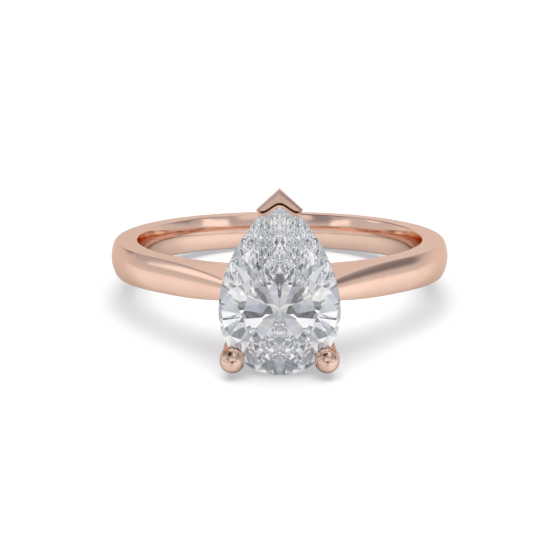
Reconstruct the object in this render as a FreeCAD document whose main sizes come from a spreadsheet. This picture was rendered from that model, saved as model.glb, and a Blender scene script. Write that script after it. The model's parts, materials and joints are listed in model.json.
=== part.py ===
"""Cathedral solitaire ring with a pear brilliant, a V claw over its point and two bead-ended claws.

Every piece is drawn in the ring's own frame: the finger's axis is Z, the head looks towards -Y, +X is
the wearer's right, and the origin is the centre of the finger hole. One lean then sets the whole ring
down on a flat surface the way it rests by itself, on the stone's round end and the back of the band.
"""
import FreeCAD, Part
import math
import os
import Sketcher
from FreeCAD import Placement, Rotation, Vector

SIZES = [
    ("bore_radius", 8.25, "finger hole, UK size M / US 6: 16.5 mm across"),
    ("bore_land", 0.9, "length of the straight middle of the hole"),
    ("comfort_relief", 0.12, "how far the comfort fit opens towards the edges"),
    ("crown_radius", 9.85, "band's outer radius on the crown line"),
    ("crown_rise", 0.27, "height of the D section's crown above its edges"),
    ("edge_round", 0.3, "rounding of the band's edges at the back"),
    ("back_half_width", 1.15, "half the band's width at the back"),
    ("side_half_width", 1.03, "half the band's width at the sides"),
    ("head_half_width", 0.83, "half the band's width under the head"),
    ("finger_rail_radius", 9.05, "outer radius of the thin rail under the head"),
    ("arm_start", 6.4, "X where a shoulder butts on the full band"),
    ("arm_end", 2.25, "X where a shoulder ends inside the gallery rail"),
    ("arm_line", 13.55, "sum of X and height along a shoulder's outer line"),
    ("arm_half_width", 0.93, "half width of a shoulder where it starts"),
    ("arm_pinch", 0.41, "half width lost over the pinch length"),
    ("arm_pinch_run", 4.0, "length over which a shoulder narrows"),
    ("window_start", 2.8, "X where a shoulder leaves the finger rail"),
    ("window_end_height", 9.4, "height of a shoulder's underside at its end"),
    ("stone_half_width", 2.92, "half the stone's width"),
    ("stone_point_length", 5.7, "from the stone's widest line to its point"),
    ("stone_round_length", 3.08, "from the widest line to the round end"),
    ("stone_widest", -0.85, "Z of the stone's widest line, and of its culet"),
    ("girdle_height", 12.0, "height of the middle of the girdle"),
    ("girdle_thickness", 0.1, "thickness of the girdle"),
    ("stone_crown", 0.8, "from the girdle up to the table"),
    ("stone_pavilion", 2.45, "from the girdle down to the culet"),
    ("table_ratio", 0.6, "table size over girdle size"),
    ("gallery_bottom", 10.6, "underside of the gallery rail"),
    ("gallery_depth", 0.75, "height of the gallery rail"),
    ("gallery_half_width", 2.5, "outer half width of the gallery rail"),
    ("gallery_point", 4.85, "from the widest line to the gallery rail's point"),
    ("gallery_wall", 0.75, "thickness of the gallery rail"),
    ("base_bottom", 8.65, "underside of the base rail before it is saddled"),
    ("base_depth", 1.1, "height of the base rail before it is saddled"),
    ("base_half_width", 1.75, "outer half width of the base rail"),
    ("base_point", 3.6, "from the widest line to the base rail's point"),
    ("base_wall", 0.6, "thickness of the base rail"),
    ("claw_radius", 0.43, "radius of the round claws' wire"),
    ("bead_radius", 0.6, "radius of the round claws' bead ends"),
    ("foot_across", 1.45, "X of a round claw's foot"),
    ("foot_height", 9.15, "height of a round claw's foot"),
    ("foot_along", -1.75, "Z of a round claw's foot"),
    ("bend_across", 2.22, "X of a round claw under the girdle"),
    ("bend_height", 11.0, "height of that place"),
    ("bend_along", -2.68, "Z of that place"),
    ("bead_across", 2.27, "X of a bead's centre"),
    ("bead_height", 12.38, "height of a bead's centre"),
    ("bead_along", -3.12, "Z of a bead's centre"),
    ("vee_top", 12.55, "height of the V claw's flat top"),
    ("vee_shoulder", 11.85, "height where the V claw's walls start to lean in"),
    ("vee_foot", 9.2, "height of the V claw's foot"),
    ("vee_apex", 5.12, "Z of the V claw's outer edge on the point's line"),
    ("vee_inner_apex", 4.25, "Z of its inner edge on that line"),
    ("vee_corner_across", 1.1, "X of its outer corners"),
    ("vee_corner_along", 4.13, "Z of its outer corners"),
    ("vee_lip_across", 1.0, "X of its end corners"),
    ("vee_lip_along", 3.8, "Z of its end corners"),
    ("vee_foot_scale", 0.55, "size of the V claw's foot over its top"),
    ("vee_foot_apex", 3.05, "Z of the foot's outer edge"),
]

doc = FreeCAD.newDocument("engagement_ring")
sheet = doc.addObject("Spreadsheet::Sheet", "Sizes")
for row, (alias, value, note) in enumerate(SIZES, start=1):
    sheet.set(f"A{row}", note)
    sheet.set(f"B{row}", str(value))
    sheet.setAlias(f"B{row}", alias)
doc.recompute()

COMFORT_MIDDLE = 0.3  # share of the comfort relief that is reached halfway to the edge
TAPER_REACH = 0.5  # how far past the crown the line of the tapered sides is drawn
TAPER_SPARE = 0.01  # what it leaves on the half width at that far end
SPARE = 1.0  # how far a cutting outline reaches past the metal
ARM_STATIONS = (5.2, 4.1)  # X of the shoulder's sections between its start and its window
ARM_PINCH_LEAD = 0.37  # how far before its start a shoulder begins to pinch
ARM_PINCH_POWER = 2.4  # how suddenly it pinches
ARM_FOOT = 0.82  # half width of a shoulder's underside at its end
ARM_FOOT_GROWTH = 0.02  # what that gains for each millimetre away from the head
ARM_SIDE_SLOPE = 0.03  # least that the underside is narrower than the outer edge at the start
ARM_SINK = 0.2  # how far a shoulder's blank reaches into the finger rail before it is saddled
MAIN_SHARE = 0.52  # place of the flank mains between the widest line (0) and the point (1)
BETWEEN_SHARES = (0.75, 0.25)  # where the halves touch the girdle between two flank mains
ROUND_HALVES = 8  # halves along the round end
STAR_LEVEL = 0.47  # height of the star corners over the crown's height
LOWER_HALF_LEVEL = 0.77  # depth of the lower halves over the pavilion's depth
CULET_SPARE = 0.1  # what the prism that the stone is cut from has below the culet
PEAR_STEPS = 8  # points through which each curve of the stone's outline runs
SLAB = 30.0  # side of the blocks that cut the facets
TOUCHING = 1e-6
NOWHERE = Placement()


def cell(alias):
    """The number held by a cell of the sheet."""
    return float(sheet.get(alias))


# ---------------------------------------------------------------- how the ring rests

def crown_arc():
    """Radius of the arc across the band's outside, and how far its centre is from the finger's axis."""
    radius = (cell("crown_rise") ** 2 + cell("back_half_width") ** 2) / (2 * cell("crown_rise"))
    return radius, cell("crown_radius") - radius


def soft_edge():
    """Centre of the rounding of the band's edge at the back: distance out, distance across."""
    radius, centre = crown_arc()
    across = cell("back_half_width") - cell("edge_round")
    return centre + math.sqrt((radius - cell("edge_round")) ** 2 - across ** 2), across


def resting_place():
    """The lean and shift that stand the ring on its stone's round end and its back, box centre at 0."""
    out, across = soft_edge()
    stone_out = cell("girdle_height") - cell("girdle_thickness") / 2
    stone_down = cell("stone_round_length") - cell("stone_widest")
    drop, reach = stone_down - across, stone_out + out
    lean = math.acos(cell("edge_round") / math.hypot(drop, reach)) - math.atan2(reach, drop)
    lift = stone_down * math.cos(lean) - stone_out * math.sin(lean)
    radius, centre = crown_arc()
    back = centre * math.cos(lean) + radius
    front = cell("bead_height") * math.cos(lean) - cell("bead_along") * math.sin(lean) + cell("bead_radius")
    return Placement(Vector(0, (front - back) / 2, lift), Rotation(Vector(1, 0, 0), -math.degrees(lean)))


RESTING = resting_place()


# ---------------------------------------------------------------- small drawing helpers

def new_body(label, local=NOWHERE):
    body = doc.addObject("PartDesign::Body", label)
    body.Label = label
    body.Placement = RESTING.multiply(local)
    return body


def sketch_on(body, role, name, offset=0.0):
    """A sketch on one of the body's own origin planes, moved along that plane's normal."""
    sketch = body.newObject("Sketcher::SketchObject", name)
    plane = next(f for f in body.Origin.OriginFeatures if f.Role == role)
    sketch.AttachmentSupport = [(plane, "")]
    sketch.MapMode = "FlatFace"
    sketch.AttachmentOffset = Placement(Vector(0, 0, offset), Rotation())
    return sketch


def join_ends(sketch, first=0):
    """Closes the loops among the curves from first on: ends that lie on each other are made one."""
    curves = range(first, len(sketch.Geometry))
    for index in curves:
        for other in range(index + 1, len(sketch.Geometry)):
            for end in (1, 2):
                for other_end in (1, 2):
                    gap = sketch.getPoint(index, end) - sketch.getPoint(other, other_end)
                    if gap.Length < TOUCHING:
                        sketch.addConstraint(Sketcher.Constraint("Coincident", index, end, other, other_end))


def hold(sketch, index, point, across="", up=""):
    """Ties a point's distances from the sketch's origin to the sheet."""
    here = sketch.getPoint(index, point)
    for kind, value, expression in (("DistanceX", here.x, across), ("DistanceY", here.y, up)):
        if expression:
            number = sketch.addConstraint(Sketcher.Constraint(kind, index, point, value))
            sketch.setExpression(f"Constraints[{number}]", expression)


def polygon(sketch, corners):
    """A closed outline of straight lines; each corner is (x, y, x expression, y expression)."""
    first = len(sketch.Geometry)
    for here, there in zip(corners, corners[1:] + corners[:1]):
        straight_line(sketch, here[:2], there[:2])
    join_ends(sketch, first)
    for index, corner in enumerate(corners):
        hold(sketch, first + index, 1, corner[2], corner[3])


def straight_line(sketch, first, last):
    return sketch.addGeometry(Part.LineSegment(Vector(*first, 0), Vector(*last, 0)), False)


def three_point_arc(sketch, first, middle, last):
    arc = Part.Arc(Vector(*first, 0), Vector(*middle, 0), Vector(*last, 0))
    return sketch.addGeometry(arc, False)


def feature(body, kind, name, profile):
    made = body.newObject("PartDesign::" + kind, name)
    made.Profile = profile
    profile.Visibility = False
    return made


# ---------------------------------------------------------------- shank

def band_section(sketch):
    """Comfort-fit D section: a straight land, two opening arcs, rounded edges and a crowned outside."""
    bore, land = cell("bore_radius"), cell("bore_land") / 2
    wide, soft, crown = cell("back_half_width"), cell("edge_round"), cell("crown_radius")
    arc_radius, arc_centre = crown_arc()
    soft_out, soft_across = soft_edge()
    tangent = math.atan2(soft_across, soft_out - arc_centre)
    touch = (arc_centre + arc_radius * math.cos(tangent), arc_radius * math.sin(tangent))
    opened = bore + cell("comfort_relief")
    inner_soft = cell("comfort_relief")
    corner = math.sqrt(0.5)

    straight_line(sketch, (bore, -land), (bore, land))
    middle = (bore + COMFORT_MIDDLE * cell("comfort_relief"), (land + wide - inner_soft) / 2)
    three_point_arc(sketch, (bore, land), middle, (opened, wide - inner_soft))
    three_point_arc(
        sketch,
        (opened, wide - inner_soft),
        (opened + inner_soft * (1 - corner), wide - inner_soft * (1 - corner)),
        (opened + inner_soft, wide),
    )
    straight_line(sketch, (opened + inner_soft, wide), (soft_out, wide))
    half = (math.pi / 2 + tangent) / 2
    three_point_arc(
        sketch,
        (soft_out, wide),
        (soft_out + soft * math.cos(half), soft_across + soft * math.sin(half)),
        touch,
    )
    three_point_arc(sketch, touch, (crown, 0), (touch[0], -touch[1]))
    three_point_arc(
        sketch,
        (touch[0], -touch[1]),
        (soft_out + soft * math.cos(half), -soft_across - soft * math.sin(half)),
        (soft_out, -wide),
    )
    straight_line(sketch, (soft_out, -wide), (opened + inner_soft, -wide))
    three_point_arc(
        sketch,
        (opened + inner_soft, -wide),
        (opened + inner_soft * (1 - corner), -wide + inner_soft * (1 - corner)),
        (opened, -wide + inner_soft),
    )
    three_point_arc(sketch, (opened, -wide + inner_soft), (middle[0], -middle[1]), (bore, -land))
    join_ends(sketch)
    hold(sketch, 0, 1, "Sizes.bore_radius", "-Sizes.bore_land / 2")
    hold(sketch, 0, 2, "Sizes.bore_radius", "Sizes.bore_land / 2")
    hold(sketch, 3, 2, "", "Sizes.back_half_width")
    hold(sketch, 7, 1, "", "-Sizes.back_half_width")


def side_taper(sketch, side):
    """What the band loses on one side: it is widest at the back and narrowest under the head."""
    reach = cell("crown_radius") + TAPER_REACH
    widest = cell("back_half_width") + TAPER_SPARE
    outside = cell("back_half_width") + SPARE
    sign = "" if side > 0 else "-"
    polygon(
        sketch,
        [
            (-reach, side * cell("head_half_width"), "", sign + "Sizes.head_half_width"),
            (0, side * cell("side_half_width"), "", sign + "Sizes.side_half_width"),
            (reach, side * widest, "", f"{sign}(Sizes.back_half_width + {TAPER_SPARE})"),
            (reach, side * outside, "", ""),
            (-reach, side * outside, "", ""),
        ],
    )


def build_shank():
    body = new_body("shank")
    section = sketch_on(body, "XZ_Plane", "band_section")
    band_section(section)
    band = feature(body, "Revolution", "band", section)
    band.ReferenceAxis = (section, ["V_Axis"])
    band.Angle = 360

    taper = sketch_on(body, "YZ_Plane", "side_taper")
    side_taper(taper, 1)
    side_taper(taper, -1)
    sides = feature(body, "Pocket", "tapered_sides", taper)
    sides.Midplane = True
    sides.Type = "ThroughAll"

    recess = sketch_on(body, "XY_Plane", "rail_recess")
    rail, start = cell("finger_rail_radius"), cell("arm_start")
    rise = math.sqrt(rail ** 2 - start ** 2)
    far = cell("crown_radius") + SPARE
    three_point_arc(recess, (-start, -rise), (0, -rail), (start, -rise))
    for here, there in (
        ((start, -rise), (start, -far)),
        ((start, -far), (-start, -far)),
        ((-start, -far), (-start, -rise)),
    ):
        straight_line(recess, here, there)
    join_ends(recess)
    hold(recess, 1, 1, "Sizes.arm_start", "")
    hold(recess, 3, 1, "-Sizes.arm_start", "")
    cut = feature(body, "Pocket", "finger_rail", recess)
    cut.Midplane = True
    cut.Type = "ThroughAll"
    return body


# ---------------------------------------------------------------- fit on the finger rail

def saddle(body):
    """Cuts the finger rail's cylinder out of a piece, so that it sits down on the rail."""
    circle = sketch_on(body, "XY_Plane", body.Label + "_rail_circle")
    circle.addGeometry(Part.Circle(Vector(0, 0, 0), Vector(0, 0, 1), cell("finger_rail_radius")), False)
    circle.addConstraint(Sketcher.Constraint("Coincident", 0, 3, -1, 1))
    number = circle.addConstraint(Sketcher.Constraint("Radius", 0, cell("finger_rail_radius")))
    circle.setExpression(f"Constraints[{number}]", "Sizes.finger_rail_radius")
    fit = feature(body, "Pocket", body.Label + "_saddle", circle)
    fit.Midplane = True
    fit.Type = "ThroughAll"


# ---------------------------------------------------------------- shoulders

def arm_half_width(across):
    """Half width of a shoulder's outer edge: it pinches in towards the head."""
    run = max(cell("arm_start") + ARM_PINCH_LEAD - across, 0) / cell("arm_pinch_run")
    return cell("arm_half_width") - cell("arm_pinch") * run ** ARM_PINCH_POWER


def arm_underside(across):
    """Height of the underside, a little inside the finger rail up to the window and then rising."""
    rail = math.sqrt(cell("finger_rail_radius") ** 2 - across ** 2)
    if across > cell("window_start"):
        return rail - ARM_SINK
    share = (cell("window_start") - across) / (cell("window_start") - cell("arm_end"))
    return rail - ARM_SINK + share * (cell("window_end_height") - rail + ARM_SINK)


def arm_outer(across):
    """Height of the crisp outer edge: the band's circle first, then a straight line to the head."""
    edge = cell("crown_radius") - cell("crown_rise")
    if across > edge * math.sqrt(0.5):
        return math.sqrt(edge ** 2 - across ** 2)
    return cell("arm_line") - across


def build_shoulder(label, side):
    body = new_body(label)
    places = [cell("arm_start"), *ARM_STATIONS, cell("window_start"), cell("arm_end")]
    sections = []
    for index, across in enumerate(places):
        sketch = sketch_on(body, "YZ_Plane", f"{label}_section{index}", side * across)
        low, high = -arm_underside(across), -arm_outer(across)
        inner = ARM_FOOT + ARM_FOOT_GROWTH * (across - cell("arm_end"))
        inner = min(cell("arm_half_width") - ARM_SIDE_SLOPE, inner)
        outer = arm_half_width(across)
        crown = high - cell("crown_rise") * (outer / cell("arm_half_width")) ** 2
        straight_line(sketch, (low, -inner), (low, inner))
        straight_line(sketch, (low, inner), (high, outer))
        three_point_arc(sketch, (high, outer), (crown, 0), (high, -outer))
        straight_line(sketch, (high, -outer), (low, -inner))
        join_ends(sketch)
        sections.append(sketch)
    arm = body.newObject("PartDesign::AdditiveLoft", f"{label}_arm")
    arm.Profile = sections[0]
    arm.Sections = sections[1:]
    saddle(body)
    return body


# ---------------------------------------------------------------- rails

def pear(sketch, half_width, point, round_length, widest, shrink=0.0):
    """A pear outline: a round end below the widest line and two arcs that meet in a point above it."""
    wide, back = half_width - shrink, round_length - shrink
    ahead = point - shrink * math.sqrt(2)
    flank = (wide ** 2 + ahead ** 2) / (2 * wide)
    half = math.asin(ahead / flank) / 2
    bulge = flank * math.cos(half) - flank + wide
    three_point_arc(
        sketch,
        (-wide, widest),
        (0, widest - back),
        (wide, widest),
    )
    for side in (1, -1):
        three_point_arc(
            sketch,
            (side * wide, widest),
            (side * bulge, widest + flank * math.sin(half)),
            (0, widest + ahead),
        )
    join_ends(sketch)


def build_rail(label, bottom, depth, half_width, point, wall):
    """A pear-shaped ring of metal, its hole following its outline."""
    body = new_body(label)
    round_length = cell(half_width)
    outline = sketch_on(body, "XZ_Plane", f"{label}_outline", cell(bottom))
    pear(outline, cell(half_width), cell(point), round_length, cell("stone_widest"))
    ring = feature(body, "Pad", f"{label}_ring", outline)
    ring.setExpression("Length", f"Sizes.{depth}")
    hole = sketch_on(body, "XZ_Plane", f"{label}_hole", cell(bottom))
    pear(hole, cell(half_width), cell(point), round_length, cell("stone_widest"), cell(wall))
    bore = feature(body, "Pocket", f"{label}_bore", hole)
    bore.Midplane = True
    bore.Type = "ThroughAll"
    return body


# ---------------------------------------------------------------- diamond

def stone_point(across, along, height):
    """A point of the stone, measured from its widest line and upwards along the head's axis."""
    return Vector(across, -height, along + cell("stone_widest"))


def flank(share, side=1):
    """A place on the girdle between the widest line (0) and the point (1)."""
    half_width, length = cell("stone_half_width"), cell("stone_point_length")
    place = (side * half_width * (1 - share ** 2), length * share)
    along = (-side * 2 * half_width * share, length)
    return place, along


def round_end(degrees):
    """A place on the girdle's half ellipse, by its angle below the widest line."""
    half_width, length = cell("stone_half_width"), cell("stone_round_length")
    turn = math.radians(degrees)
    place = (half_width * math.cos(turn), -length * math.sin(turn))
    along = (-half_width * math.sin(turn), -length * math.cos(turn))
    return place, along


def main_places():
    """Where the eight main facets meet the girdle, starting at the point and going round."""
    point = ((0.0, cell("stone_point_length")), (1.0, 0.0))
    right = [flank(MAIN_SHARE), flank(0.0)]
    left = [flank(0.0, -1), flank(MAIN_SHARE, -1)]
    below = [round_end(degrees) for degrees in (45, 90, 135)]
    return [point] + right + below + left


def between_places():
    """Where the sixteen small facets touch the girdle, two between each pair of mains."""
    shares = [MAIN_SHARE + (1 - MAIN_SHARE) * way for way in BETWEEN_SHARES]
    shares += [MAIN_SHARE * way for way in BETWEEN_SHARES]
    right = [flank(share) for share in shares]
    left = [flank(share, -1) for share in reversed(shares)]
    below = [round_end(180 * (step + 0.5) / ROUND_HALVES) for step in range(ROUND_HALVES)]
    return right + below + left


def plane_through(first, second, third):
    """A cutting plane as (point, outward normal)."""
    normal = (second - first).cross(third - first).normalize()
    inside = stone_point(0, 0, cell("girdle_height"))
    if normal.dot(first - inside) < 0:
        normal = -normal
    return first, normal


def ridge_point(one, other, height):
    """The place at a given height on the ridge where two facet planes meet."""
    level = Vector(0, -1, 0)
    volume = one[1].dot(other[1].cross(level))
    return (
        other[1].cross(level) * one[0].dot(one[1])
        + level.cross(one[1]) * other[0].dot(other[1])
        + one[1].cross(other[1]) * height
    ) / volume


def facet_planes(girdle, apex_height, apex_ratio, ridge_height):
    """Eight mains and sixteen halves on one side of the girdle; also the stars' corner points."""
    mains = []
    tops = []
    for place, along in main_places():
        foot = stone_point(*place, girdle)
        top = stone_point(place[0] * apex_ratio, place[1] * apex_ratio, apex_height)
        mains.append(plane_through(foot, foot + Vector(along[0], 0, along[1]), top))
        tops.append(top)
    ridges = [ridge_point(mains[i], mains[(i + 1) % 8], ridge_height) for i in range(8)]
    halves = []
    for index, (place, along) in enumerate(between_places()):
        foot = stone_point(*place, girdle)
        halves.append(plane_through(foot, foot + Vector(along[0], 0, along[1]), ridges[index // 2]))
    return mains, halves, tops, ridges


def slice_off(solid, plane):
    point, normal = plane
    slab = Part.makeBox(SLAB, SLAB, SLAB, Vector(-SLAB / 2, -SLAB / 2, 0))
    slab.Placement = Placement(point, Rotation(Vector(0, 0, 1), normal))
    return solid.cut(slab)


def girdle_prism(bottom, top):
    """The stone's outline, stood up from the culet's level to the table's."""
    edges = []
    steps = range(PEAR_STEPS + 1)
    for side in (1, -1):
        points = [stone_point(*flank(step / PEAR_STEPS, side)[0], bottom) for step in steps]
        curve = Part.BSplineCurve()
        curve.interpolate(points)
        edges.append(curve.toShape())
    points = [stone_point(*round_end(180 * step / PEAR_STEPS)[0], bottom) for step in steps]
    curve = Part.BSplineCurve()
    curve.interpolate(Points=points, InitialTangent=Vector(0, 0, -1), FinalTangent=Vector(0, 0, 1))
    edges.append(curve.toShape())
    outline = Part.Wire(Part.__sortEdges__(edges))
    return Part.Face(outline).extrude(Vector(0, bottom - top, 0))


def build_stone():
    """A pear brilliant: a table, 8 stars, 8 mains and 16 halves above the girdle, 7 mains and 16 halves
    below it. The pavilion has no main under the point, where its flanks meet in a keel."""
    upper = cell("girdle_height") + cell("girdle_thickness") / 2
    lower = cell("girdle_height") - cell("girdle_thickness") / 2
    table = upper + cell("stone_crown")
    culet = lower - cell("stone_pavilion")
    solid = girdle_prism(culet - CULET_SPARE, table)
    star_height = upper + STAR_LEVEL * cell("stone_crown")
    mains, halves, corners, ridges = facet_planes(upper, table, cell("table_ratio"), star_height)
    stars = [plane_through(corners[i], corners[(i + 1) % 8], ridges[i]) for i in range(8)]
    half_height = lower - LOWER_HALF_LEVEL * cell("stone_pavilion")
    below_mains, below_halves, _, _ = facet_planes(lower, culet, 0.0, half_height)
    for plane in mains + stars + halves + below_mains[1:] + below_halves:
        solid = slice_off(solid, plane)
    stone = doc.addObject("Part::Feature", "diamond")
    stone.Label = "diamond"
    stone.Shape = solid
    stone.Placement = RESTING
    return stone


# ---------------------------------------------------------------- claws

def build_round_claw(label, side):
    """A wire that climbs in one arc from its foot to a bead that covers the girdle's edge."""
    places = []
    for name in ("foot", "bend", "bead"):
        places.append(Vector(side * cell(name + "_across"), -cell(name + "_height"), cell(name + "_along")))
    foot, bend, tip = places
    arc = Part.Arc(foot, bend, tip).toShape()
    radius = arc.Curve.Radius
    inward = (arc.Curve.Center - foot).normalize()
    across = (bend - foot).cross(tip - bend).normalize()
    upward = inward.cross(across)
    if upward.dot(bend - foot) < 0:
        upward, across = -upward, -across
    body = new_body(label, Placement(foot, Rotation(inward, upward.cross(inward), upward, "ZXY")))
    sweep = arc.Length / radius
    turns = (0, sweep / 2, sweep)
    ends = [(radius * (1 - math.cos(turn)), radius * math.sin(turn)) for turn in turns]
    path = sketch_on(body, "XZ_Plane", f"{label}_path")
    three_point_arc(path, *ends)
    profile = sketch_on(body, "XY_Plane", f"{label}_wire")
    profile.addGeometry(Part.Circle(Vector(0, 0, 0), Vector(0, 0, 1), cell("claw_radius")), False)
    profile.addConstraint(Sketcher.Constraint("Coincident", 0, 3, -1, 1))
    number = profile.addConstraint(Sketcher.Constraint("Radius", 0, cell("claw_radius")))
    profile.setExpression(f"Constraints[{number}]", "Sizes.claw_radius")
    wire = feature(body, "AdditivePipe", f"{label}_stem", profile)
    wire.Spine = (path, ["Edge1"])
    bead = body.newObject("PartDesign::AdditiveSphere", f"{label}_bead")
    bead.setExpression("Radius", "Sizes.bead_radius")
    bead.Placement = Placement(Vector(ends[2][0], 0, ends[2][1]), Rotation())
    return body


def chevron(sketch, apex, inner_apex, corner, lip):
    """The V claw's outline seen from above: two walls that meet over the stone's point."""
    points = [(0, apex), corner, lip, (0, inner_apex), (-lip[0], lip[1]), (-corner[0], corner[1])]
    polygon(sketch, [(x, y, "", "") for x, y in points])


def build_tip_claw(label):
    """V claw: a wall round the stone's point, folded over it, on a leg that narrows to its foot."""
    body = new_body(label)
    apex, inner = cell("vee_apex"), cell("vee_inner_apex")
    corner = (cell("vee_corner_across"), cell("vee_corner_along"))
    lip = (cell("vee_lip_across"), cell("vee_lip_along"))
    scale, foot_apex = cell("vee_foot_scale"), cell("vee_foot_apex")
    foot = sketch_on(body, "XZ_Plane", f"{label}_foot", cell("vee_foot"))
    small = [(x * scale, foot_apex + (z - apex) * scale) for x, z in ((0, inner), corner, lip)]
    chevron(foot, foot_apex, small[0][1], small[1], small[2])
    shoulder = sketch_on(body, "XZ_Plane", f"{label}_shoulder", cell("vee_shoulder"))
    chevron(shoulder, apex, inner, corner, lip)
    leg = body.newObject("PartDesign::AdditiveLoft", f"{label}_leg")
    leg.Profile = foot
    leg.Sections = [shoulder]
    leg.Ruled = True
    cap = sketch_on(body, "XZ_Plane", f"{label}_cap", cell("vee_shoulder"))
    chevron(cap, apex, inner, corner, lip)
    wall = feature(body, "Pad", f"{label}_wall", cap)
    wall.setExpression("Length", "Sizes.vee_top - Sizes.vee_shoulder")
    return body


def fitted(label, blank, *neighbours):
    """A piece filed to fit: its blank less the pieces that pass through it."""
    tool = neighbours[0]
    if len(neighbours) > 1:
        tool = doc.addObject("Part::MultiFuse", label + "_neighbours")
        tool.Shapes = list(neighbours)
    piece = doc.addObject("Part::Cut", label)
    piece.Base = blank
    piece.Tool = tool
    piece.Label = label
    return piece


# ---------------------------------------------------------------- the ring

shank = build_shank()
base_rail = build_rail("base_rail", "base_bottom", "base_depth", "base_half_width", "base_point", "base_wall")
saddle(base_rail)
diamond = build_stone()
seat_blank = build_rail(
    "gallery_rail_blank",
    "gallery_bottom",
    "gallery_depth",
    "gallery_half_width",
    "gallery_point",
    "gallery_wall",
)
gallery_rail = fitted("gallery_rail", seat_blank, diamond)
pieces = [shank, base_rail, gallery_rail, diamond]
for side, word in ((-1, "left"), (1, "right")):
    arm = build_shoulder(word + "_shoulder_blank", side)
    pieces.append(fitted(word + "_shoulder", arm, seat_blank))
    claw = build_round_claw(word + "_claw_blank", side)
    pieces.append(fitted(word + "_claw", claw, diamond, seat_blank, base_rail))
pieces.append(fitted("tip_claw", build_tip_claw("tip_claw_blank"), diamond, seat_blank, base_rail))
doc.recompute()

for item in doc.Objects:
    if "Invalid" in item.State or "Error" in item.State:
        raise RuntimeError(f"{item.Label} could not be made: {item.getStatusString()}")
for piece in pieces:
    if piece.Shape.isNull() or not piece.Shape.isValid() or len(piece.Shape.Solids) != 1:
        raise RuntimeError(f"{piece.Label} is not one sound solid")

os.makedirs("parts", exist_ok=True)
for piece in pieces:
    piece.Shape.exportStep(f"parts/{piece.Label}.step")
    box = piece.Shape.optimalBoundingBox()
    print(f"{piece.Label}: {piece.Shape.Volume:.2f} mm3, x {box.XMin:.2f} to {box.XMax:.2f}, "
          f"y {box.YMin:.2f} to {box.YMax:.2f}, z {box.ZMin:.2f} to {box.ZMax:.2f}")
print(f"lean {math.degrees(RESTING.Rotation.Angle):.3f} degrees, moved {RESTING.Base}")
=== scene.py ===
"""Looks of the cathedral solitaire ring: polished rose gold, a pear brilliant, and a plain pale floor.

Sizes are in millimetres in the ring's own frame, as in the CAD: the finger's axis is Z, the head looks
towards -Y and the centre of the finger hole is the origin. ring_to_row() carries them to the row frame.
"""
import json
import math
import bmesh
import bpy
from mathutils import Matrix, Vector


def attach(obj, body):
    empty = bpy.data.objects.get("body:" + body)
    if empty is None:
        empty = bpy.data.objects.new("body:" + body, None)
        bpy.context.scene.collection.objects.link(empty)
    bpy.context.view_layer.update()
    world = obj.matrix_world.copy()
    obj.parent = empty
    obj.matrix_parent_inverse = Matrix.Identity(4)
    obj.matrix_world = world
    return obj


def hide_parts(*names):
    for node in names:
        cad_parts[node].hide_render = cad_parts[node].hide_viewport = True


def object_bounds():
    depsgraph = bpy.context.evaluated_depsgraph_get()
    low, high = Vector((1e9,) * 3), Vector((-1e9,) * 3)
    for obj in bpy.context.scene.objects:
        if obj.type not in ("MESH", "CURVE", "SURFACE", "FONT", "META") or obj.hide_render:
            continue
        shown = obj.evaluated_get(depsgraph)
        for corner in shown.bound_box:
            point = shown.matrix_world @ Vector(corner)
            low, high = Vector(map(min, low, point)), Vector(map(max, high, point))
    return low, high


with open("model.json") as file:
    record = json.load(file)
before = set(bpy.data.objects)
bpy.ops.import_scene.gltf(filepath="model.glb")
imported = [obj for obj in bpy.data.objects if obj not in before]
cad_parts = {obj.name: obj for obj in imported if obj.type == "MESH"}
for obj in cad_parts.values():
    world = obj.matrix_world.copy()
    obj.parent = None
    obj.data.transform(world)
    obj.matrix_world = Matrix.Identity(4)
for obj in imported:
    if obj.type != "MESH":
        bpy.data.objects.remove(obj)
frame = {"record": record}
cad_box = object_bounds()

MM = 0.001
QUARTER = math.pi / 2

SHARP_ANGLE = math.radians(30.0)

# Band and shoulders
BORE_RADIUS = 8.25
COMFORT_CURVE = 4.2
INNER_ROUND = 0.12
EDGE_RADIUS = 9.58
INNER_HALF_WIDTH = (0.81, 0.34)  # at the head, and what the back adds
OUTER_HALF_WIDTH = (0.86, 0.29)
WIDENING_POWER = 0.8
CROWN_RISE = 0.27
CROWN_FULL_HALF_WIDTH = 0.92
RAIL_RADIUS = 9.05
BACK_EDGE_ROUND = 0.3
CRISP_EDGE_ROUND = 0.045
EDGE_SOFTENS_FROM = math.radians(66.0)
EDGE_SOFTENS_OVER = math.radians(12.0)
JOINT_ANGLE = math.radians(45.0)
ARM_LINE = EDGE_RADIUS * math.sqrt(2)
ARM_END_ANGLE = math.radians(11.6)
ARM_PINCH = 0.34
ARM_PINCH_RUN = 4
ARM_PINCH_POWER = 2.6
WINDOW_ANGLE = math.radians(18.0)
WINDOW_LIFT = 0.75
WINDOW_LIFT_POWER = 1.4
SHANK_STEPS = 300
RAIL_STEPS = 110
ARM_STEPS = 150

# Stone
STONE_HALF_WIDTH = 2.92
STONE_POINT_LENGTH = 5.7
STONE_ROUND_LENGTH = 3.08
STONE_WIDEST = -0.85
GIRDLE_HEIGHT = 12.0
GIRDLE_THICKNESS = 0.1
STONE_CROWN = 0.8
STONE_PAVILION = 2.45
TABLE_RATIO = 0.6
MAIN_SHARE = 0.52  # where a flank's main facet sits, from the widest line (0) to the point (1)
STAR_LEVEL = 0.47
LOWER_HALF_LEVEL = 0.77
GIRDLE_STEPS = 128
SEAT_CLEARANCE = 0.012

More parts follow.
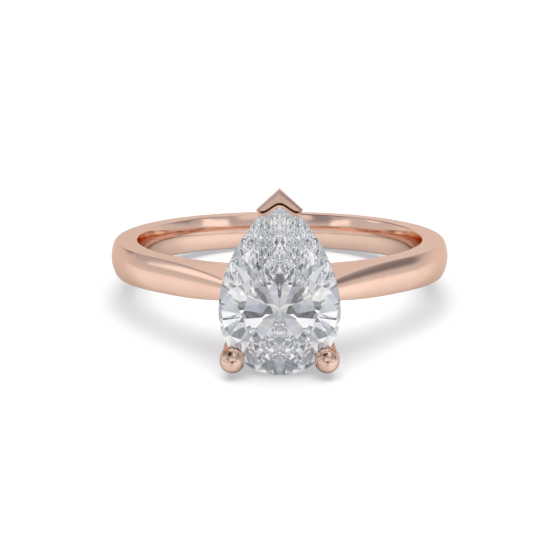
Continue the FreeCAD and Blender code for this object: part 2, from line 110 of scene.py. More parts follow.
# Rails
GALLERY_BOTTOM = 10.6
GALLERY_TOP = 11.35
GALLERY_HALF_WIDTH = 2.5
GALLERY_POINT = 4.85
GALLERY_WALL = 0.75
BASE_TOP = 9.75
BASE_HALF_WIDTH = 1.75
BASE_POINT = 3.6
BASE_BOTTOM = 8.65
BASE_WALL = 0.6
RAIL_EDGE_ROUND = 0.14

# Claws
FOOT = (1.45, 9.15, -1.75)  # (across, height, along) of the right wire's middle
BEND = (2.22, 11.0, -2.68)
BEAD = (2.27, 12.38, -3.12)
BEAD_RADIUS = 0.6
NECK_RADIUS = 0.465
NECK_REACH = 0.95
FOOT_THINNING = 0.035
THINNING_FROM = 0.9
THINNING_REACH = 2.2
FOOT_ROUND = 0.15
WIRE_SIDES = 48
LEAST_RADIUS = 0.01
VEE_STEPS = 60
VEE_LEG_STEPS = 14
VEE_TOP = 12.55
VEE_SHOULDER = 11.85
VEE_FOOT = 9.2
VEE_APEX = 5.12
VEE_SIDE_TOP = 12.2
VEE_EDGE = 0.1
VEE_CORNER = (1.1, 4.13)  # (across, along) of the V's ends
VEE_BEVEL = (0.93, 4.165, 4.94)  # (across, along at the ends, along at the middle)
VEE_GROOVE = (0.9, 4.115, 4.51)
VEE_GROOVE_WIDTH = 0.13
VEE_GROOVE_DEPTH = 0.3
VEE_GROOVE_END = 0.08
VEE_GROOVE_POWER = 1.15
VEE_LEDGE = 0.14
VEE_LIP = (1.0, 3.8, 4.25)
VEE_LIP_POWER = 1.9
VEE_LIP_CORNER = 0.14
VEE_LIP_DROP = 0.06
VEE_BREAK = 0.012
VEE_SOFT_EDGE = 0.015
VEE_FOOT_SCALE = 0.55
VEE_FOOT_APEX = 3.05


def ring_to_row():
    """The ring's own frame, in millimetres, to the row frame in metres, from the finger hole's mount."""
    hole = next(m for m in frame["record"]["mounts"] if m["name"] == "finger_hole")
    up = Vector(hole["axis"]).normalized()
    right = Vector((1, 0, 0))
    back = up.cross(right)
    turn = Matrix((right, back, up)).transposed().to_4x4()
    return Matrix.Translation(Vector(hole["pos_m"])) @ turn @ Matrix.Scale(MM, 4)


RING = ring_to_row()


# ---------------------------------------------------------------- mesh helpers

def add_object(name, mesh):
    made = bpy.data.objects.new(name, mesh)
    bpy.context.scene.collection.objects.link(made)
    return made


def shade(piece):
    """Smooth shading that keeps crisp edges and flat faces."""
    piece.data.shade_smooth()
    piece.data.set_sharp_from_angle(angle=SHARP_ANGLE)
    weigh = piece.modifiers.new("weigh", "WEIGHTED_NORMAL")
    weigh.keep_sharp = True
    weigh.weight = 100


def make_object(name, points, faces):
    """An object at the origin from points in the ring's frame, with outward normals."""
    mesh = bpy.data.meshes.new(name)
    mesh.from_pydata([RING @ Vector(p) for p in points], [], faces)
    work = bmesh.new()
    work.from_mesh(mesh)
    bmesh.ops.recalc_face_normals(work, faces=work.faces)
    work.to_mesh(mesh)
    work.free()
    made = add_object(name, mesh)
    shade(made)
    return made


def grid_faces(rows, columns, closed):
    """Quads between neighbouring rings of points; closed joins the last ring to the first."""
    faces = []
    for row in range(rows if closed else rows - 1):
        following = (row + 1) % rows
        for column in range(columns):
            beside = (column + 1) % columns
            faces.append((
                row * columns + column,
                row * columns + beside,
                following * columns + beside,
                following * columns + column,
            ))
    return faces


def skin(name, rings):
    """A closed solid through rings of points, with flat ends."""
    count = len(rings[0])
    points = [p for ring in rings for p in ring]
    faces = grid_faces(len(rings), count, False)
    faces.append(tuple(range(count)))
    faces.append(tuple(range(len(points) - count, len(points))))
    return make_object(name, points, faces)


def loop_skin(name, rings):
    """A closed ring-shaped solid through rings of points."""
    points = [p for ring in rings for p in ring]
    return make_object(name, points, grid_faces(len(rings), len(rings[0]), True))


def arc_points(centre, radius, start, end, steps):
    """Points on a flat arc, both ends included."""
    points = []
    for step in range(steps + 1):
        turn = start + (end - start) * step / steps
        points.append((centre[0] + radius * math.cos(turn), centre[1] + radius * math.sin(turn)))
    return points


def smoothstep(value):
    share = min(max(value, 0.0), 1.0)
    return share * share * (3 - 2 * share)


# ---------------------------------------------------------------- band and shoulders
# angle is measured from the head, so pi is the back of the band.

def back_share(angle):
    """0 at the head and 1 at the back, as the band widens."""
    return ((1 - math.cos(angle)) / 2) ** WIDENING_POWER


def inner_half_width(angle):
    return INNER_HALF_WIDTH[0] + INNER_HALF_WIDTH[1] * back_share(angle)


def edge_distance(angle):
    """Distance of the crisp outer edge from the finger's axis: a circle, then the shoulder's line."""
    turn = abs(angle)
    if turn > JOINT_ANGLE:
        return EDGE_RADIUS
    return ARM_LINE / (math.cos(turn) + math.sin(turn))


def outer_half_width(angle):
    """Half width at the crisp outer edge; the shoulders pinch in towards the head."""
    width = OUTER_HALF_WIDTH[0] + OUTER_HALF_WIDTH[1] * back_share(angle)
    if abs(angle) < JOINT_ANGLE:
        run = EDGE_RADIUS * math.sin(JOINT_ANGLE) - edge_distance(angle) * math.sin(abs(angle))
        width -= ARM_PINCH * (run / ARM_PINCH_RUN) ** ARM_PINCH_POWER
    return width


def crown_rise(angle):
    return CROWN_RISE * min(outer_half_width(angle) / CROWN_FULL_HALF_WIDTH, 1.0)


def edge_round(angle):
    soft = smoothstep((abs(angle) - EDGE_SOFTENS_FROM) / EDGE_SOFTENS_OVER)
    return CRISP_EDGE_ROUND + (BACK_EDGE_ROUND - CRISP_EDGE_ROUND) * soft


def side_line(angle):
    """Ends of the straight side of the section: (distance, half width) at the bore and at the outer edge."""
    inner = (lower_outline(angle)[-1][0], inner_half_width(angle))
    return inner, (edge_distance(angle), outer_half_width(angle))


def side_half_width(angle, distance):
    inner, outer = side_line(angle)
    share = (distance - inner[0]) / (outer[0] - inner[0])
    return inner[1] + (outer[1] - inner[1]) * share


def upper_outline(angle):
    """Rounded edge and crown, from the side at +Z over to the side at -Z."""
    inner, outer = side_line(angle)
    rise = crown_rise(angle)
    radius = (rise ** 2 + outer[1] ** 2) / (2 * rise)
    centre = outer[0] + rise - radius
    small = edge_round(angle)
    slope = math.atan2(outer[1] - inner[1], outer[0] - inner[0])
    normal = (math.sin(slope), -math.cos(slope))
    offset = (inner[0] + normal[0] * small - centre, inner[1] + normal[1] * small)
    along = (math.cos(slope), math.sin(slope))
    middle = offset[0] * along[0] + offset[1] * along[1]
    spare = offset[0] ** 2 + offset[1] ** 2 - (radius - small) ** 2
    reach = -middle + math.sqrt(middle ** 2 - spare)
    round_centre = (centre + offset[0] + along[0] * reach, offset[1] + along[1] * reach)
    tangent = math.atan2(round_centre[1], round_centre[0] - centre)
    corner = arc_points(round_centre, small, slope + QUARTER, tangent, 7)
    crown = arc_points((centre, 0), radius, tangent, -tangent, 28)
    mirrored = [(p[0], -p[1]) for p in reversed(corner)]
    return corner[:-1] + crown + mirrored[1:]


def lower_outline(angle):
    """Comfort-fit bore with its soft edges, from the side at -Z over to the side at +Z."""
    wide = inner_half_width(angle)
    centre = (BORE_RADIUS + COMFORT_CURVE, 0.0)
    reach = wide - INNER_ROUND
    lean = math.asin(reach / (COMFORT_CURVE - INNER_ROUND))
    round_centre = (centre[0] - (COMFORT_CURVE - INNER_ROUND) * math.cos(lean), reach)
    bore = arc_points(centre, COMFORT_CURVE, math.pi, math.pi - lean, 12)
    corner = arc_points(round_centre, INNER_ROUND, math.pi - lean, QUARTER, 10)
    half = bore[1:-1] + corner
    mirrored = [(p[0], -p[1]) for p in reversed(half)]
    return mirrored + bore[:1] + half


def at_angle(angle, outline):
    """A section's (distance, across) points, stood up at an angle round the band."""
    return [(r * math.sin(angle), -r * math.cos(angle), z) for r, z in outline]


def side_points(angle, start, end, steps):
    """Points up the side at +Z, without its ends."""
    points = []
    for step in range(1, steps):
        distance = start + (end - start) * step / steps
        points.append((distance, side_half_width(angle, distance)))
    return points


def flipped(points):
    return [(r, -z) for r, z in reversed(points)]


def build_shank():
    """The closed band: full section round the back, thin rail under the head, a step at each shoulder."""
    points, faces = [], []

    def add(angle, outline):
        start = len(points)
        points.extend(at_angle(angle, outline))
        return list(range(start, len(points)))

    def base(angle):
        """The part of the section that band and rail share, from one rail edge down and up to the other."""
        edge = (RAIL_RADIUS, side_half_width(angle, RAIL_RADIUS))
        side = side_points(angle, lower_outline(angle)[-1][0], RAIL_RADIUS, 4)
        return [(edge[0], -edge[1])] + flipped(side) + lower_outline(angle) + side + [edge]

    def top(angle):
        """What stands above that on the full band."""
        outline = upper_outline(angle)
        side = side_points(angle, RAIL_RADIUS, outline[0][0], 3)
        return side + outline + flipped(side)

    def rail_top(angle, count=6):
        wide = side_half_width(angle, RAIL_RADIUS)
        return [(RAIL_RADIUS, wide - 2 * wide * step / count) for step in range(1, count)]

    def join(one, other):
        for index in range(len(one)):
            beside = (index + 1) % len(one)
            faces.append((one[index], one[beside], other[beside], other[index]))

    ends = {}
    previous = None
    for step in range(SHANK_STEPS + 1):
        angle = JOINT_ANGLE + (2 * math.pi - 2 * JOINT_ANGLE) * step / SHANK_STEPS
        from_head = angle if angle < math.pi else 2 * math.pi - angle
        bottom = add(angle, base(from_head))
        upper = add(angle, top(from_head))
        if previous:
            join(previous[0] + previous[1], bottom + upper)
        previous = (bottom, upper)
        if step in (0, SHANK_STEPS):
            ends[step] = previous
    first, last = ends[0], ends[SHANK_STEPS]
    previous = (last[0], add(-JOINT_ANGLE, rail_top(JOINT_ANGLE)))
    faces.append(tuple([last[0][-1]] + last[1] + [last[0][0]] + list(reversed(previous[1]))))
    for step in range(1, RAIL_STEPS + 1):
        angle = -JOINT_ANGLE + 2 * JOINT_ANGLE * step / RAIL_STEPS
        bottom = first[0] if step == RAIL_STEPS else add(angle, base(abs(angle)))
        upper = add(angle, rail_top(abs(angle)))
        join(previous[0] + previous[1], bottom + upper)
        previous = (bottom, upper)
    faces.append(tuple([first[0][-1]] + first[1] + [first[0][0]] + list(reversed(previous[1]))))
    return make_object("band", points, faces)


def arm_underside(angle):
    """Distance of a shoulder's underside: on the finger rail, then lifting away from it at the window."""
    lift = max((WINDOW_ANGLE - angle) / (WINDOW_ANGLE - ARM_END_ANGLE), 0.0)
    return RAIL_RADIUS + WINDOW_LIFT * lift ** WINDOW_LIFT_POWER


def build_shoulder(name, side, across_steps=6):
    """A cathedral arm, swept from its joint on the band to the head; side is -1 for left."""
    rings = []
    for step in range(ARM_STEPS + 1):
        angle = JOINT_ANGLE + (ARM_END_ANGLE - JOINT_ANGLE) * step / ARM_STEPS
        low = arm_underside(angle)
        wide = side_half_width(angle, low)
        outline = upper_outline(angle)
        rise = side_points(angle, low, outline[0][0], across_steps)
        bottom = [(low, -wide + 2 * wide * place / across_steps) for place in range(across_steps + 1)]
        rings.append(at_angle(side * angle, bottom + rise + outline + flipped(rise)))
    return skin(name, rings)


# ---------------------------------------------------------------- diamond

def flank(share, side=1):
    """A place on the girdle between the widest line (0) and the point (1), and the outline's direction."""
    place = (side * STONE_HALF_WIDTH * (1 - share ** 2), STONE_POINT_LENGTH * share)
    return place, (-side * 2 * STONE_HALF_WIDTH * share, STONE_POINT_LENGTH)


def round_end(degrees):
    """A place on the girdle's half ellipse, by its angle below the widest line, and the direction there."""
    turn = math.radians(degrees)
    place = (STONE_HALF_WIDTH * math.cos(turn), -STONE_ROUND_LENGTH * math.sin(turn))
    return place, (-STONE_HALF_WIDTH * math.sin(turn), -STONE_ROUND_LENGTH * math.cos(turn))


def main_places():
    point = ((0.0, STONE_POINT_LENGTH), (1.0, 0.0))
    right = [flank(MAIN_SHARE), flank(0.0)]
    left = [flank(0.0, -1), flank(MAIN_SHARE, -1)]
    return [point] + right + [round_end(degrees) for degrees in (45, 90, 135)] + left


def between_places():
    shares = [(3 + MAIN_SHARE) / 4, (1 + 3 * MAIN_SHARE) / 4, MAIN_SHARE * 0.75, MAIN_SHARE * 0.25]
    right = [flank(share) for share in shares]
    left = [flank(share, -1) for share in reversed(shares)]
    return right + [round_end(22.5 * (step + 0.5)) for step in range(8)] + left


def stone_point(across, along, height):
    return Vector((across, -height, along + STONE_WIDEST))


def plane_through(first, second, third):
    normal = (second - first).cross(third - first).normalized()
    if normal.dot(first - stone_point(0, 0, GIRDLE_HEIGHT)) < 0:
        normal = -normal
    return first, normal


def ridge_point(one, other, height):
    """The place at a given height on the ridge where two facet planes meet."""
    level = Vector((0, -1, 0))
    volume = one[1].dot(other[1].cross(level))
    return (
        other[1].cross(level) * one[0].dot(one[1])
        + level.cross(one[1]) * other[0].dot(other[1])
        + one[1].cross(other[1]) * height
    ) / volume


def facet_planes(girdle, apex_height, apex_ratio, ridge_height):
    """Eight mains and sixteen halves on one side of the girdle; also the stars' corner points."""
    mains, tops, halves = [], [], []
    for place, along in main_places():
        foot = stone_point(*place, girdle)
        top = stone_point(place[0] * apex_ratio, place[1] * apex_ratio, apex_height)
        mains.append(plane_through(foot, foot + Vector((along[0], 0, along[1])), top))
        tops.append(top)
    ridges = [ridge_point(mains[i], mains[(i + 1) % 8], ridge_height) for i in range(8)]
    for index, (place, along) in enumerate(between_places()):
        foot = stone_point(*place, girdle)
        halves.append(plane_through(foot, foot + Vector((along[0], 0, along[1])), ridges[index // 2]))
    return mains, halves, tops, ridges


def close_flat(work, rim, normal):
    """Closes a flat convex opening: its corners in order round their middle make one face."""
    middle = sum((vertex.co for vertex in rim), Vector()) / len(rim)
    right = (rim[0].co - middle).normalized()
    up = normal.cross(right)

    def bearing(vertex):
        away = vertex.co - middle
        return math.atan2(away.dot(up), away.dot(right))

    rim.sort(key=bearing)
    work.faces.new(rim)


def stone_mesh(swell=0.0):
    """The pear brilliant, cut plane by plane from its outline; swell makes a tool a little larger."""
    upper = GIRDLE_HEIGHT + GIRDLE_THICKNESS / 2
    lower = GIRDLE_HEIGHT - GIRDLE_THICKNESS / 2
    table = upper + STONE_CROWN
    culet = lower - STONE_PAVILION
    star_height = upper + STAR_LEVEL * STONE_CROWN
    mains, halves, corners, ridges = facet_planes(upper, table, TABLE_RATIO, star_height)
    stars = [plane_through(corners[i], corners[(i + 1) % 8], ridges[i]) for i in range(8)]
    half_height = lower - LOWER_HALF_LEVEL * STONE_PAVILION
    below_mains, below_halves, _, _ = facet_planes(lower, culet, 0.0, half_height)
    flat = (stone_point(0, 0, table), Vector((0, -1, 0)))

    shares = [step / GIRDLE_STEPS for step in range(GIRDLE_STEPS)]
    outline = [flank(1 - share)[0] for share in shares]
    outline += [round_end(180 * share)[0] for share in shares]
    outline += [flank(share, -1)[0] for share in shares]
    grown = []
    for index, place in enumerate(outline):
        before, after = outline[index - 1], outline[(index + 1) % len(outline)]
        along = Vector((after[0] - before[0], after[1] - before[1])).normalized()
        grown.append((place[0] - along[1] * swell, place[1] + along[0] * swell))

    work = bmesh.new()
    levels = []
    for height in (culet - 1, table + 1):
        levels.append([work.verts.new(stone_point(*place, height)) for place in grown])
    for index in range(len(outline)):
        beside = (index + 1) % len(outline)
        work.faces.new((levels[0][index], levels[0][beside], levels[1][beside], levels[1][index]))
    work.faces.new(levels[0])
    work.faces.new(levels[1])
    for place, normal in [flat] + mains + stars + halves + below_mains[1:] + below_halves:
        everything = work.verts[:] + work.edges[:] + work.faces[:]
        where = place + normal * swell
        cut = bmesh.ops.bisect_plane(
            work, geom=everything, dist=1e-6, plane_co=where, plane_no=normal, clear_outer=True
        )
        rim = [item for item in cut["geom_cut"] if isinstance(item, bmesh.types.BMVert)]
        if len(rim) < 3:
            continue
        bmesh.ops.remove_doubles(work, verts=rim, dist=1e-5)
        close_flat(work, [vertex for vertex in rim if vertex.is_valid], normal)
    return wrap(work)


def wrap(work):
    """The convex hull of a cut stone's corners, so that its facets are whole and it is closed."""
    hull = bmesh.new()
    for vertex in work.verts:
        hull.verts.new(vertex.co)
    work.free()
    bmesh.ops.remove_doubles(hull, verts=hull.verts, dist=1e-4)
    wrapped = bmesh.ops.convex_hull(hull, input=hull.verts)
    inside = [item for item in wrapped["geom_interior"] if isinstance(item, bmesh.types.BMVert)]
    bmesh.ops.delete(hull, geom=inside, context="VERTS")
    bmesh.ops.dissolve_limit(hull, angle_limit=math.radians(0.1), verts=hull.verts, edges=hull.edges)
    bmesh.ops.recalc_face_normals(hull, faces=hull.faces)
    return hull


def build_stone(name, swell=0.0):
    work = stone_mesh(swell)
    for vertex in work.verts:
        vertex.co = RING @ vertex.co
    mesh = bpy.data.meshes.new(name)
    work.to_mesh(mesh)
    work.free()
    return add_object(name, mesh)


# ---------------------------------------------------------------- rails

def pear_outline(half_width, point, shrink, steps=48):
    """The rails' plan: a half circle below the widest line and two arcs that meet in a point above it."""
    wide = half_width - shrink
    ahead = point - shrink * math.sqrt(2)
    radius = (wide ** 2 + ahead ** 2) / (2 * wide)
    sweep = math.asin(ahead / radius)
    places = []
    for step in range(steps):
        turn = sweep * (1 - step / steps)
        places.append((wide - radius + radius * math.cos(turn), radius * math.sin(turn)))
    for step in range(steps):
        turn = math.pi * step / steps
        places.append((wide * math.cos(turn), -wide * math.sin(turn)))
    for step in range(steps):
        turn = sweep * step / steps
        places.append((radius - wide - radius * math.cos(turn), radius * math.sin(turn)))
    return [(x, z + STONE_WIDEST) for x, z in places]


def rail_section(wall, bottom, top, radius=RAIL_EDGE_ROUND, steps=5):
    """A wall with rounded corners, as (inset, height) pairs."""
    corners = [
        ((wall - radius, top - radius), 0.0),
        ((radius, top - radius), QUARTER),
        ((radius, bottom + radius), 2 * QUARTER),
        ((wall - radius, bottom + radius), 3 * QUARTER),
    ]
    points = []
    for centre, start in corners:
        points.extend(arc_points(centre, radius, start, start + QUARTER, steps))
    return points


def build_rail(name, section, half_width, point, lowest=lambda across: 0.0):
    """A rail swept round the pear outline; lowest(across) is the level that it sits down on."""
    rings = []
    for inset, height in section:
        ring = []
        for across, along in pear_outline(half_width, point, inset):
            ring.append((across, -max(height, lowest(across)), along))
        rings.append(ring)
    return loop_skin(name, rings)


# ---------------------------------------------------------------- claws

def circle_through(first, middle, last):
    """Centre of the circle through three points."""
    one, two = middle - first, last - first
    normal = one.cross(two)
    return first + (normal.cross(one) * two.length_squared + two.cross(normal) * one.length_squared) / (
        2 * normal.length_squared
    )


def claw_radius(above):
    """Radius of the wire, by distance above the bead's centre along it (negative below)."""
    if above > 0:
        return math.sqrt(max(BEAD_RADIUS ** 2 - above ** 2, 0))
    neck = smoothstep(-above / NECK_REACH)
    thinner = smoothstep((-above - THINNING_FROM) / THINNING_REACH)
    return BEAD_RADIUS + (NECK_RADIUS - BEAD_RADIUS) * neck - FOOT_THINNING * thinner


def build_round_claw(name, side):
    """Wire that climbs in one arc from the base rail and swells into a round bead over the girdle."""
    foot, bend, bead = (Vector((side * p[0], -p[1], p[2])) for p in (FOOT, BEND, BEAD))
    centre = circle_through(foot, bend, bead)
    radius = (foot - centre).length
    inward = (centre - bead).normalized()
    plane = (bend - foot).cross(bead - bend).normalized()
    upward = plane.cross(inward)
    if upward.dot(bead - bend) < 0:
        upward = -upward
    length = radius * (foot - centre).angle(bead - centre)
    foot_steps, wire_steps, bead_steps = 9, 70, 24
    stations = []  # (distance along the wire above the bead's centre, what is shaved off its radius)
    for step in range(foot_steps):
        turn = QUARTER * step / foot_steps
        stations.append((FOOT_ROUND * (1 - math.cos(turn)) - length, FOOT_ROUND * (1 - math.sin(turn))))
    for step in range(wire_steps + 1):
        stations.append(((FOOT_ROUND - length) * (1 - step / wire_steps), 0.0))
    for step in range(1, bead_steps):
        stations.append((BEAD_RADIUS * math.sin(QUARTER * step / bead_steps), 0.0))
    rings = []
    for above, shave in stations:
        if above <= 0:
            turn = -above / radius
            middle = centre - inward * radius * math.cos(turn) - upward * radius * math.sin(turn)
            outward = (middle - centre).normalized()
        else:
            middle = bead + upward * above
            outward = -inward
        wide = max(claw_radius(above) - shave, LEAST_RADIUS)
        ring = []
        for step in range(WIRE_SIDES):
            turn = 2 * math.pi * step / WIRE_SIDES
            ring.append(middle + (outward * math.cos(turn) + plane * math.sin(turn)) * wide)
        rings.append(ring)
    return skin(name, rings)


def vee_leg(height):
    """How far down its leg the V claw has got at a height: 0 at its shoulder and 1 at its foot."""
    return max((VEE_SHOULDER - height) / (VEE_SHOULDER - VEE_FOOT), 0.0)


def vee_place(across, along, height):
    """A point of the V claw's plan, drawn in and narrowed as the leg goes down."""
    down = vee_leg(height)
    scale = 1 - (1 - VEE_FOOT_SCALE) * down
    apex = VEE_APEX - (VEE_APEX - VEE_FOOT_APEX) * down
    return (across * scale, -height, apex + (along - VEE_APEX) * scale)


def build_tip_claw(name):
    """The V claw: a bevelled flat top, a fine groove inside it that the gold's painted crevice shade makes
    dark, and a ledge pressed over the stone.
    """
    ledge = VEE_TOP - VEE_LEDGE
    rise = VEE_SHOULDER - VEE_FOOT
    leg = [VEE_FOOT + rise * level / VEE_LEG_STEPS for level in range(VEE_LEG_STEPS + 1)]
    rings = []
    for step in range(VEE_STEPS + 1):
        place = -1 + 2 * step / VEE_STEPS
        out = abs(place)
        sway = (1 + math.cos(math.pi * out)) / 2
        outer = (place * VEE_CORNER[0], VEE_APEX + (VEE_CORNER[1] - VEE_APEX) * out)
        bevel = (place * VEE_BEVEL[0], VEE_BEVEL[2] + (VEE_BEVEL[1] - VEE_BEVEL[2]) * out)
        across = place * VEE_GROOVE[0]
        along = VEE_GROOVE[1] + (VEE_GROOVE[2] - VEE_GROOVE[1]) * sway ** VEE_GROOVE_POWER
        floor = VEE_TOP - VEE_GROOVE_DEPTH * smoothstep((1 - out) / VEE_GROOVE_END)
        curve = (VEE_LIP[2] - VEE_LIP[1]) * sway ** VEE_LIP_POWER
        lip = (place * VEE_LIP[0], VEE_LIP[1] + curve + VEE_LIP_CORNER * out ** 8)
        section = [vee_place(*outer, height) for height in leg]
        section += [
            vee_place(*outer, VEE_SIDE_TOP),
            vee_place(*outer, VEE_TOP - VEE_EDGE),
            vee_place(*bevel, VEE_TOP - VEE_BREAK),
            vee_place(bevel[0] * (1 - VEE_SOFT_EDGE), bevel[1] - VEE_SOFT_EDGE, VEE_TOP),
            vee_place(across, along, VEE_TOP),
            vee_place(across, along - VEE_GROOVE_WIDTH * 0.45, min(VEE_TOP - 0.013, floor)),
            vee_place(across, along - VEE_GROOVE_WIDTH * 0.55, min(VEE_TOP - 0.014, floor)),
            vee_place(across, along - VEE_GROOVE_WIDTH, ledge - VEE_SOFT_EDGE),
            vee_place(across, along - VEE_GROOVE_WIDTH - VEE_SOFT_EDGE, ledge),
            vee_place(lip[0], lip[1] + 0.02, ledge - 0.02),
            vee_place(*lip, ledge - VEE_LIP_DROP),
        ]
        section += [vee_place(*lip, height) for height in reversed(leg)]
        rings.append(section)
    return skin(name, rings)


# ---------------------------------------------------------------- fitting pieces to the stone

def cut_away(piece, tool):
    """Files a seat for the stone into a metal piece."""
    piece.modifiers.clear()
    cut = piece.modifiers.new("seat", "BOOLEAN")
    cut.operation = "DIFFERENCE"
    cut.solver = "EXACT"
    cut.object = tool
    graph = bpy.context.evaluated_depsgraph_get()
    mesh = bpy.data.meshes.new_from_object(piece.evaluated_get(graph))
    work = bmesh.new()
    work.from_mesh(mesh)
    bmesh.ops.dissolve_degenerate(work, edges=work.edges, dist=2e-7)
    work.to_mesh(mesh)
    work.free()
    piece.modifiers.clear()
    piece.data = mesh
    shade(piece)


# ---------------------------------------------------------------- materials

def node(tree, kind, **settings):
    made = tree.nodes.new(kind)
    for key, value in settings.items():
        setattr(made, key, value)
    return made


def empty_tree(holder):
    """The cleared node tree of a material or a world."""
    holder.use_nodes = True
    holder.node_tree.nodes.clear()
    return holder.node_tree


def set_ramp(ramp, stops):
    """Fills a colour ramp; its first two stops are the lowest and the highest."""
    for index, (level, tone) in enumerate(stops):
        stop = ramp.elements[index] if index < 2 else ramp.elements.new(level)
        stop.position = level
        stop.color = (*tone, 1)


GOLD_TONES = [(0.3, (0.86, 0.59, 0.475)), (0.7, (0.9, 0.63, 0.51))]
# Colour of the painted shade laid into the gold's crevices.
PAINTED_CREVICE_SHADE = (0.3, 0.16, 0.1)


def gold_material():
    """Polished rose gold: fine polishing marks, small changes in gloss and colour, and painted shade that
    darkens its crevices.
    """
    material = bpy.data.materials.new("polished_rose_gold")
    tree = empty_tree(material)
    output = node(tree, "ShaderNodeOutputMaterial")
    metal = node(tree, "ShaderNodeBsdfPrincipled")
    metal.inputs["Metallic"].default_value = 1.0
    metal.inputs["Specular Tint"].default_value = (0.95, 0.8, 0.71, 1)
    link = tree.links.new
    link(metal.outputs[0], output.inputs["Surface"])
    place = node(tree, "ShaderNodeTexCoord")

    clouds = node(tree, "ShaderNodeTexNoise")
    clouds.inputs["Scale"].default_value = 450.0
    clouds.inputs["Detail"].default_value = 3.0
    link(place.outputs["Object"], clouds.inputs["Vector"])

    tone = node(tree, "ShaderNodeValToRGB")
    set_ramp(tone.color_ramp, GOLD_TONES)
    link(clouds.outputs[0], tone.inputs[0])

    # Painted shade: ambient occlusion within 0.2 mm pulls the base colour towards a dark brown in the V
    # claw's groove and other tight hollows.
    crevice_shade = node(tree, "ShaderNodeAmbientOcclusion", samples=8, only_local=True)
    crevice_shade.inputs["Distance"].default_value = 0.0002
    depth = node(tree, "ShaderNodeMapRange")
    depth.inputs["From Min"].default_value = 0.3
    depth.inputs["From Max"].default_value = 0.7
    link(crevice_shade.outputs["AO"], depth.inputs["Value"])
    dark = node(tree, "ShaderNodeMix", data_type="RGBA")
    link(depth.outputs[0], dark.inputs["Factor"])
    dark.inputs["A"].default_value = (*PAINTED_CREVICE_SHADE, 1)
    link(tone.outputs[0], dark.inputs["B"])
    link(dark.outputs["Result"], metal.inputs["Base Color"])

    grain = node(tree, "ShaderNodeTexNoise")
    grain.inputs["Scale"].default_value = 5200.0
    grain.inputs["Detail"].default_value = 4.0
    link(place.outputs["Object"], grain.inputs["Vector"])
    gloss = node(tree, "ShaderNodeMapRange")
    gloss.inputs["From Min"].default_value = 0.35
    gloss.inputs["From Max"].default_value = 0.7
    gloss.inputs["To Min"].default_value = 0.05
    gloss.inputs["To Max"].default_value = 0.11
    link(grain.outputs[0], gloss.inputs["Value"])
    link(gloss.outputs[0], metal.inputs["Roughness"])

    bump = node(tree, "ShaderNodeBump")
    bump.inputs["Strength"].default_value = 0.04
    bump.inputs["Distance"].default_value = 0.00002
    link(grain.outputs[0], bump.inputs["Height"])
    link(bump.outputs[0], metal.inputs["Normal"])
    return material


def diamond_material():
    material = bpy.data.materials.new("cut_diamond")
    tree = empty_tree(material)
    output = node(tree, "ShaderNodeOutputMaterial")
    glass = node(tree, "ShaderNodeBsdfPrincipled")
    glass.inputs["Base Color"].default_value = (1, 1, 1, 1)
    glass.inputs["Roughness"].default_value = 0.0
    glass.inputs["IOR"].default_value = 2.417
    glass.inputs["Transmission Weight"].default_value = 1.0
    tree.links.new(glass.outputs[0], output.inputs["Surface"])
    return material


def floor_material():
    """White card. Reflections see through it to the studio's lower half, darkened by painted shade from
    ambient occlusion where the ring is near.
    """
    material = bpy.data.materials.new("floor_card")
    tree = empty_tree(material)
    link = tree.links.new
    output = node(tree, "ShaderNodeOutputMaterial")
    card = node(tree, "ShaderNodeBsdfPrincipled")
    card.inputs["Base Color"].default_value = (0.885, 0.865, 0.852, 1)
    card.inputs["Roughness"].default_value = 0.9
    card.inputs["Specular IOR Level"].default_value = 0.1
    place = node(tree, "ShaderNodeTexCoord")
    away = node(tree, "ShaderNodeVectorMath", operation="LENGTH")
    link(place.outputs["Object"], away.inputs[0])
    lit = node(tree, "ShaderNodeMapRange")
    lit.inputs["From Min"].default_value = 0.04
    lit.inputs["From Max"].default_value = 0.3
    link(away.outputs["Value"], lit.inputs["Value"])
    card.inputs["Emission Color"].default_value = (1, 1, 1, 1)
    link(lit.outputs[0], card.inputs["Emission Strength"])
    # Painted shade: glossy and transmission rays pass through the card, tinted by ambient occlusion so that
    # the ring's shadow shows in reflections.
    shade = node(tree, "ShaderNodeAmbientOcclusion", samples=12)
    shade.inputs["Distance"].default_value = 0.008
    through = node(tree, "ShaderNodeBsdfTransparent")
    link(shade.outputs["Color"], through.inputs["Color"])
    path = node(tree, "ShaderNodeLightPath")
    seen = node(tree, "ShaderNodeMath", operation="MAXIMUM")
    link(path.outputs["Is Glossy Ray"], seen.inputs[0])
    link(path.outputs["Is Transmission Ray"], seen.inputs[1])
    choose = node(tree, "ShaderNodeMixShader")
    link(seen.outputs[0], choose.inputs[0])
    link(card.outputs[0], choose.inputs[1])
    link(through.outputs[0], choose.inputs[2])
    link(choose.outputs[0], output.inputs["Surface"])
    return material


# ---------------------------------------------------------------- the ring

gold = gold_material()
diamond_look = diamond_material()


def place_piece(piece, node_name, material):
    """Gives a piece its material, attaches it to the root body and hides the CAD node that it stands in for.
    Refraction sees only the stone, and the floor's diffuse light doesn't pick up the gold."""
    piece.data.materials.clear()
    piece.data.materials.append(material)
    piece.visible_transmission = material is diamond_look
    piece.visible_diffuse = False
    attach(piece, "root")
    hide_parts(node_name)


def rail_top_level(across):
    return math.sqrt(RAIL_RADIUS ** 2 - across ** 2)


